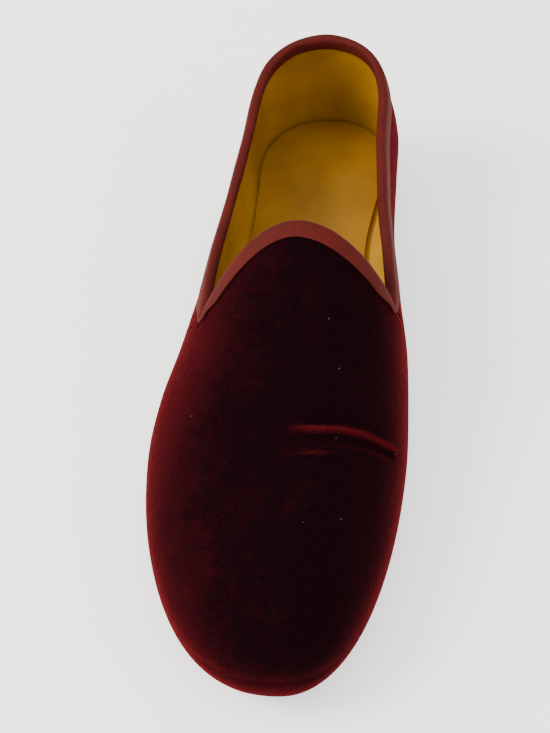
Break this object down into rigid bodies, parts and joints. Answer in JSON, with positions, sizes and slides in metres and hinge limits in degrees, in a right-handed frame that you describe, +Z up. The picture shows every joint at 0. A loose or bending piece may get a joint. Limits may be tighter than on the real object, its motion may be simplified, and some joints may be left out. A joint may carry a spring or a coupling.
{
  "type": "slip-on loafer shoe",
  "caption": "Right slip-on loafer with a rounded tongue, a low open collar bound in ribbon, a thin curved sole and a low stacked heel.",
  "frame": {"origin": "on the floor, under the middle of the shoe's box", "axes": "+Y from the toe to the heel, +X to the wearer's inner side, +Z up"},
  "size_m": [0.1034, 0.291, 0.0847],
  "materials": {
    "velvet": "dark wine velvet with a soft nap",
    "ribbon": "dusty red ribbed grosgrain",
    "sock_leather": "mustard yellow smooth leather",
    "sole_leather": "dark brown, edge dyed",
    "heel_leather": "dark brown stacked leather"
  },
  "bodies": {
    "root": {"upper": "velvet", "tongue_ribbon": "ribbon", "collar_ribbon": "ribbon", "insole": "sock_leather", "outsole": "sole_leather", "heel": "heel_leather"}
  },
  "joints": []
}
